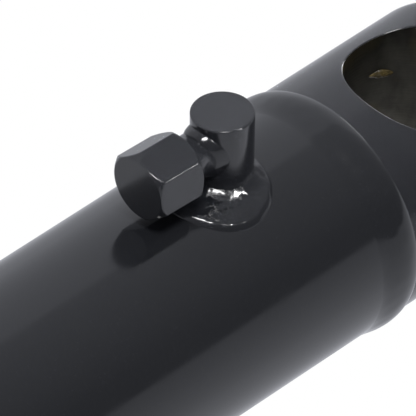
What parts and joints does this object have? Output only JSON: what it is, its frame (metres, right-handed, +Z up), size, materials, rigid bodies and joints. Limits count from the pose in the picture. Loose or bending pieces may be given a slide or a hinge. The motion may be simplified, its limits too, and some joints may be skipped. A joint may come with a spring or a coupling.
{
  "type": "telescopic hydraulic cylinder",
  "caption": "Telescopic hydraulic cylinder, closed: black enamelled barrel with a cross pin hole in the base end, upright port boss with capped fitting, nested stages and a rod eye.",
  "frame": {"origin": "on the ground under the middle of the closed cylinder's box", "axes": "+X along the cylinder towards the base end, +Z up through the port boss"},
  "size_m": [1.073, 0.1248, 0.1628],
  "materials": {
    "black_enamel": "gloss black enamel over steel, laid on thick over welds and edges",
    "chrome": "ground and hard chromed",
    "spring_steel": "bare spring steel, oiled",
    "bronze": "turned bearing bronze",
    "copper": "annealed copper",
    "nitrile": "matt black moulded rubber",
    "red_polyurethane": "satin red polyurethane"
  },
  "bodies": {
    "barrel": {"barrel_tube": "black_enamel", "base_end": "black_enamel", "base_weld": "black_enamel", "port_boss": "black_enamel", "port_boss_weld": "black_enamel", "port_adapter": "black_enamel", "adapter_weld": "black_enamel", "barrel_stop_ring": "spring_steel", "barrel_head_bearing": "bronze", "barrel_packing_set": "nitrile", "barrel_gland_nut": "black_enamel", "barrel_gland_o_ring": "nitrile", "barrel_wiper": "red_polyurethane"},
    "stage_1": {"stage_1_tube": "chrome", "stage_1_guide_ring": "bronze", "stage_1_snap_ring": "spring_steel", "stage_1_stop_ring": "spring_steel", "stage_1_head_bearing": "bronze", "stage_1_packing_set": "nitrile", "stage_1_gland_nut": "black_enamel", "stage_1_gland_o_ring": "nitrile", "stage_1_wiper": "red_polyurethane"},
    "stage_2": {"stage_2_tube": "chrome", "stage_2_guide_ring": "bronze", "stage_2_snap_ring": "spring_steel", "stage_2_stop_ring": "spring_steel", "stage_2_head_bearing": "bronze", "stage_2_packing_set": "nitrile", "stage_2_gland_nut": "black_enamel", "stage_2_gland_o_ring": "nitrile", "stage_2_wiper": "red_polyurethane"},
    "plunger_guide": {"plunger_guide_ring": "bronze"},
    "plunger": {"plunger_bar": "chrome", "plunger_snap_ring": "spring_steel", "rod_eye": "black_enamel", "rod_eye_weld": "black_enamel"},
    "cap_washer": {"cap_washer": "copper"},
    "port_cap": {"port_cap": "black_enamel"}
  },
  "joints": [
    {"name": "stage_1_slide", "type": "slide", "parent": "barrel", "child": "stage_1", "axis": [-1, 0, 0], "range_m": [0, 0.6096]},
    {"name": "stage_2_slide", "type": "slide", "parent": "stage_1", "child": "stage_2", "axis": [-1, 0, 0], "range_m": [0, 0.6096]},
    {"name": "plunger_slide", "type": "slide", "parent": "stage_2", "child": "plunger_guide", "axis": [-1, 0, 0], "range_m": [0, 0.6096]},
    {"name": "plunger_turn", "type": "hinge", "parent": "plunger_guide", "child": "plunger", "pos_m": [-0.4984, 0, 0.06242], "axis": [-1, 0, 0], "continuous": true},
    {"name": "cap_travel", "type": "slide", "parent": "barrel", "child": "cap_washer", "axis": [-0.9993, 0.0384, 0], "range_m": [0, 0.018]},
    {"name": "cap_turn", "type": "hinge", "parent": "cap_washer", "child": "port_cap", "pos_m": [0.3505, 0, 0.14432], "axis": [-0.9993, 0.0384, 0], "range_deg": [0, 3060]}
  ],
  "couplings": [
    {"joint": "cap_travel", "follows": "cap_turn", "m_per_rad": 0.00033688}
  ]
}
